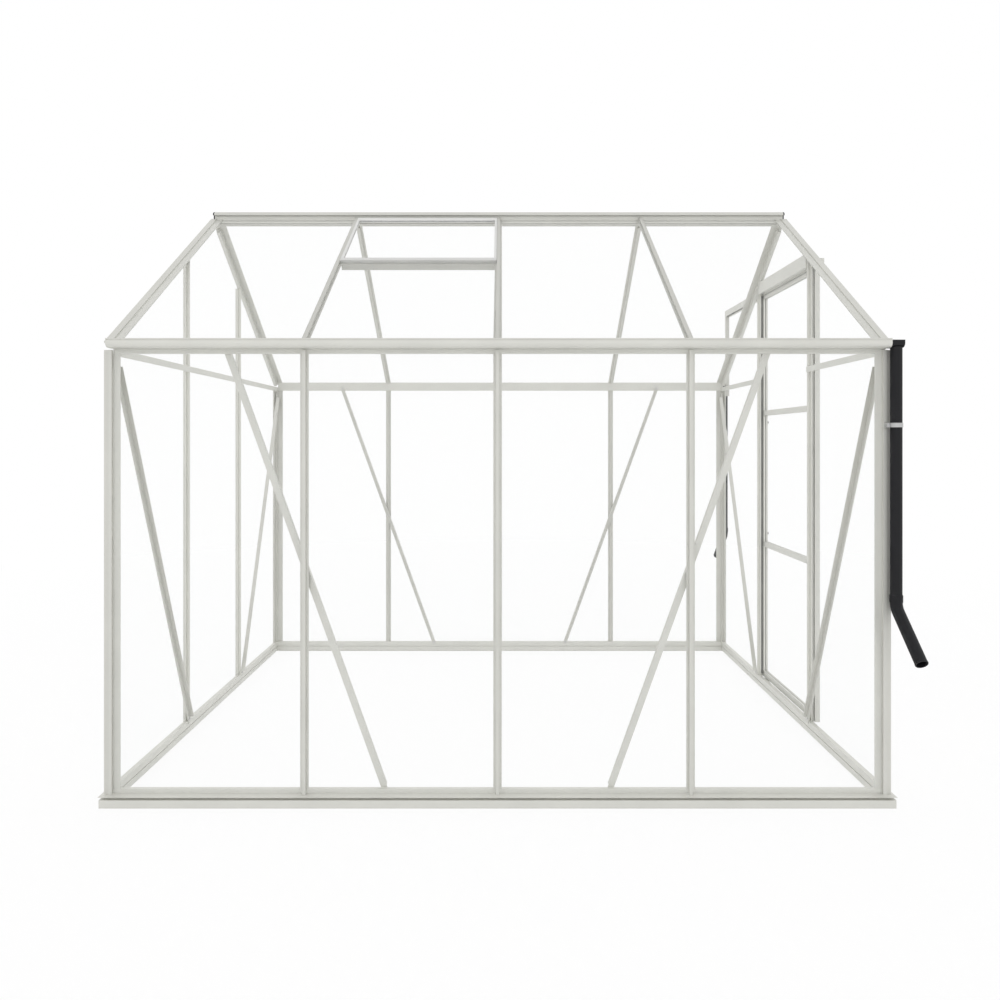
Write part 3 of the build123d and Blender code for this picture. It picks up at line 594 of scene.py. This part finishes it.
class GREENHOUSE_OT_pipe_shoes(Dresser):
    """Bent shoes with a collar at the foot of each downpipe"""

    bl_idname = "greenhouse.pipe_shoes"
    bl_label = "Make the pipe shoes"

    def execute(self, context):
        """Outer rings run down, turn through the bend and run out; inner rings lead back."""
        sizes = self.sizes
        bend, lean = sizes.shoe_bend, SPOUT_LEAN
        tangent = bend * tan(lean / 2)
        straight = SHOE_TOP - SHOE_KNEE - tangent
        total = straight + bend * lean + SPOUT_LENGTH - tangent
        joint = SHOE_TOP - PIPE_FOOT
        collar, tube = sizes.collar_radius, sizes.spout_radius
        lead, lead_depth, shoulder, bead = 0.002, 0.0008, 0.004, tube + 0.0006
        bead_stops = total - np.array((0.006, 0.005, 0.001, 0.0))
        stops = np.concatenate(((0.0, lead, joint, joint + shoulder), bead_stops))
        widths = np.array((collar - lead_depth, collar, collar, tube, tube, bead, bead, tube))
        reach = np.union1d(stops, straight + np.linspace(0, bend * lean, BEND_RINGS))
        outer = np.interp(reach, stops, widths)
        inner = np.where(reach <= joint, COLLAR_BORE, SPOUT_BORE)
        reach = np.concatenate((reach, reach[::-1]))
        radii = np.concatenate((outer, inner[::-1]))
        turned = np.clip((reach - straight) / bend, 0, lean)
        beyond = np.clip(reach - straight - bend * lean, 0, None)
        out = bend * (1 - np.cos(turned)) + beyond * sin(lean)
        down = np.minimum(reach, straight) + bend * np.sin(turned) + beyond * cos(lean)
        nothing = np.zeros_like(out)
        across = np.broadcast_to(np.array((1.0, 0.0, 0.0)), (len(out), 3))
        points, quads = [], []
        for order, side in enumerate((-1, 1)):
            middles = np.stack((nothing + PIPE_X, side * (PIPE_Y + out), SHOE_TOP - down), axis=-1)
            second = np.stack((nothing, -np.cos(turned), -side * np.sin(turned)), axis=-1)
            points.append(rings(middles, across, second, radii[:, None], SHOE_COLUMNS))
            start = order * len(out) * SHOE_COLUMNS
            quads.append(ring_quads(len(out), SHOE_COLUMNS, True) + start)
        plastic = moulded("shoe_moulding", self.other.pipe_colour, *PLASTIC_SKIN)
        new_piece("pipe_shoes", np.stack(points), np.concatenate(quads).tolist(), plastic,
                  "frame", "downpipe_shoes")
        return {"FINISHED"}


class GREENHOUSE_OT_rollers(Dresser):
    """Turned nylon rollers on the axles of the door hangers"""

    bl_idname = "greenhouse.rollers"
    bl_label = "Make the rollers"

    def execute(self, context):
        """A closed outline of width and radius, turned once round the axle."""
        recess = self.sizes.roller_recess
        hub, rim, flare, bevel = 0.0052, 0.0088, 0.0004, 0.0006
        side = np.array((
            (0.0, ROLLER_BORE), (0.0, hub), (recess, hub + flare), (recess, rim - flare),
            (0.0, rim), (0.0, ROLLER_RADIUS - bevel), (bevel, ROLLER_RADIUS),
        ))
        outline = np.concatenate((side, (side * (-1, 1) + (ROLLER_WIDTH, 0))[::-1]))
        nylon = moulded("nylon", self.other.roller_colour, *NYLON_SKIN)
        first = np.broadcast_to(np.array((0.0, 1.0, 0.0)), (len(outline), 3))
        second = np.broadcast_to(np.array((0.0, 0.0, 1.0)), (len(outline), 3))
        across = outline[:, :1] * RUN_X
        faces = ring_quads(len(outline), ROLLER_COLUMNS, True).tolist()
        for word, y in (("front", -ROLLER_Y), ("rear", ROLLER_Y)):
            middles = across + np.array((ROLLER_X, y, ROLLER_Z))
            points = rings(middles, first, second, outline[:, 1:], ROLLER_COLUMNS)
            node = f"door_roller_{word}"
            new_piece(f"turned_roller_{word}", points, faces, nylon, node, node)
        return {"FINISHED"}


def plain_plane(name, half):
    """Square floor: x and y from -half to half on a two by two grid, z just below the base."""
    x, y = np.meshgrid((-half, half), (-half, half))
    points = np.stack((x, y, np.full_like(x, -FLOOR_GAP)), axis=-1).reshape(-1, 3)
    mesh = bpy.data.meshes.new(name)
    mesh.from_pydata(points.tolist(), [], [(0, 1, 3, 2)])
    return mesh


def seen_directly(tree):
    """1 for camera, mirror and see-through rays, 0 for the rays that light the object."""
    path = add_node(tree, "ShaderNodeLightPath")
    first = add_node(tree, "ShaderNodeMath", operation="MAXIMUM")
    second = add_node(tree, "ShaderNodeMath", operation="MAXIMUM")
    tree.links.new(path.outputs["Is Camera Ray"], first.inputs[0])
    tree.links.new(path.outputs["Is Glossy Ray"], first.inputs[1])
    tree.links.new(first.outputs["Value"], second.inputs[0])
    tree.links.new(path.outputs["Is Transmission Ray"], second.inputs[1])
    return second.outputs["Value"]


def floor_paint(stage):
    """Pale floor that keeps the shadow near the house and fades to plain white further out."""
    material, tree, surface = shader("floor_paint")
    clouds = noise(tree, object_coordinates(tree), scale=0.8, detail=3.0)
    tone = shades(tree, clouds, stage.floor_colour, low=0.99, high=1.01)
    tree.links.new(tone, surface.inputs["Base Color"])
    surface.inputs["Roughness"].default_value = 0.9
    surface.inputs["Specular IOR Level"].default_value = 0.0
    glow = add_node(tree, "ShaderNodeEmission", Color=(1, 1, 1, 1), Strength=1.0)
    reach = add_node(tree, "ShaderNodeVectorMath", operation="LENGTH")
    tree.links.new(object_coordinates(tree), reach.inputs[0])
    fade = add_node(tree, "ShaderNodeMapRange")
    fade.inputs["From Min"].default_value = stage.shadow_reach / 2
    fade.inputs["From Max"].default_value = stage.shadow_reach
    fade.inputs["To Min"].default_value = FLOOR_WHITE
    tree.links.new(reach.outputs["Value"], fade.inputs["Value"])
    share = add_node(tree, "ShaderNodeMath", operation="MULTIPLY")
    tree.links.new(fade.outputs["Result"], share.inputs[1])
    tree.links.new(seen_directly(tree), share.inputs[0])
    blend = add_node(tree, "ShaderNodeMixShader")
    tree.links.new(share.outputs["Value"], blend.inputs["Fac"])
    tree.links.new(surface.outputs["BSDF"], blend.inputs[1])
    tree.links.new(glow.outputs["Emission"], blend.inputs[2])
    tree.links.new(blend.outputs["Shader"], tree.nodes["Material Output"].inputs["Surface"])
    return material


def white_surround(stage):
    """Even light all round, seen directly as plain white."""
    world = bpy.data.worlds.new("white_surround")
    world.use_nodes = True
    tree = world.node_tree
    strength = add_node(tree, "ShaderNodeMapRange")
    strength.inputs["To Min"].default_value = stage.sky
    strength.inputs["To Max"].default_value = 1.0
    tree.links.new(seen_directly(tree), strength.inputs["Value"])
    background = tree.nodes["Background"]
    background.inputs["Color"].default_value = (1, 1, 1, 1)
    tree.links.new(strength.outputs["Result"], background.inputs["Strength"])
    return world


class GREENHOUSE_OT_stage(Dresser):
    """White floor and surroundings, one large soft lamp, and the camera"""

    bl_idname = "greenhouse.stage"
    bl_label = "Set the stage"

    def execute(self, context):
        stage = context.scene.greenhouse_stage
        scene = context.scene
        scene.view_settings.view_transform = "Standard"

        floor = bpy.data.objects.new("floor", plain_plane("floor", stage.floor_half))
        scene.collection.objects.link(floor)
        floor.data.materials.append(floor_paint(stage))
        scene.world = white_surround(stage)

        lamp = bpy.data.lights.new("key_lamp", "AREA")
        lamp.energy = stage.key
        lamp.size = stage.key_side
        key = bpy.data.objects.new("key_lamp", lamp)
        key.location = stage.key_place
        key.rotation_euler = KEY_TURN
        scene.collection.objects.link(key)

        lens = bpy.data.cameras.new("camera")
        lens.lens = stage.lens
        lens.sensor_width = stage.sensor
        lens.sensor_fit = "HORIZONTAL"
        lens.shift_x = -stage.aside
        lens.shift_y = -stage.drop
        lens.clip_end = VIEW_END
        camera = bpy.data.objects.new("camera", lens)
        camera.location = stage.camera_place
        camera.rotation_euler = (pi / 2, 0, 0)
        scene.collection.objects.link(camera)
        scene.camera = camera
        return {"FINISHED"}


OPERATORS = (
    GREENHOUSE_OT_dress_frame,
    GREENHOUSE_OT_dress_vent,
    GREENHOUSE_OT_dress_panes,
    GREENHOUSE_OT_dress_small_pieces,
    GREENHOUSE_OT_brace_bolts,
    GREENHOUSE_OT_pipe_shoes,
    GREENHOUSE_OT_rollers,
    GREENHOUSE_OT_stage,
)


class GREENHOUSE_PT_panel(bpy.types.Panel):
    """Sidebar list of the sizes, colours and making steps"""

    bl_idname = "GREENHOUSE_PT_panel"
    bl_label = "Greenhouse"
    bl_space_type = "VIEW_3D"
    bl_region_type = "UI"
    bl_category = "Greenhouse"

    def draw(self, context):
        for group in (
            context.scene.greenhouse_metal,
            context.scene.greenhouse_other,
            context.scene.greenhouse_sizes,
            context.scene.greenhouse_stage,
        ):
            box = self.layout.box()
            for key in group.__annotations__:
                box.prop(group, key)
        for operator in OPERATORS:
            self.layout.operator(operator.bl_idname)


GROUPS = (
    ("greenhouse_metal", MetalFinish),
    ("greenhouse_other", ClearAndDarkFinish),
    ("greenhouse_sizes", SmallPieceSizes),
    ("greenhouse_stage", StageSettings),
)
CLASSES = (*[group for word, group in GROUPS], *OPERATORS, GREENHOUSE_PT_panel)


def register():
    """Registers every class and hangs the groups of settings on the scene."""
    for item in CLASSES:
        bpy.utils.register_class(item)
    for word, group in GROUPS:
        setattr(bpy.types.Scene, word, PointerProperty(type=group))


def unregister():
    """Takes the groups off the scene and removes every class."""
    for word, group in GROUPS:
        delattr(bpy.types.Scene, word)
    for item in reversed(CLASSES):
        bpy.utils.unregister_class(item)


def main():
    """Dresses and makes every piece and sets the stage."""
    register()
    bpy.ops.greenhouse.dress_frame()
    bpy.ops.greenhouse.dress_vent()
    bpy.ops.greenhouse.dress_panes()
    bpy.ops.greenhouse.dress_small_pieces()
    bpy.ops.greenhouse.brace_bolts()
    bpy.ops.greenhouse.pipe_shoes()
    bpy.ops.greenhouse.rollers()
    bpy.ops.greenhouse.stage()


if __name__ == "__main__":
    main()
